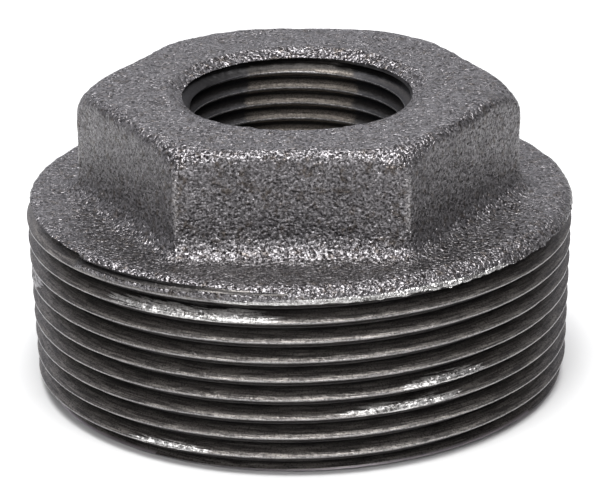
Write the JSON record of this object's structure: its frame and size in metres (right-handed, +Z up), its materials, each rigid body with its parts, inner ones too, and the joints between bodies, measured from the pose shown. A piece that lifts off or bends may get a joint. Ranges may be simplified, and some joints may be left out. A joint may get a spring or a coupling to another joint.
{
  "type": "hexagon reducing bushing",
  "caption": "Tapered male pipe thread on a round collared stem, with a hexagon head and a smaller female pipe thread through its centre.",
  "frame": {"origin": "centre of the stem's end face, on the thread axis", "axes": "+Z up the thread axis, from the male stem's end to the hexagon's top face; two hexagon flats face -Y and +Y"},
  "size_m": [0.0606, 0.0606, 0.0332],
  "materials": {
    "casting": "black as-cast malleable iron, granular, with cut threads that are smoother and a little shinier"
  },
  "bodies": {
    "root": {"reducing_bushing": "casting"}
  },
  "joints": []
}
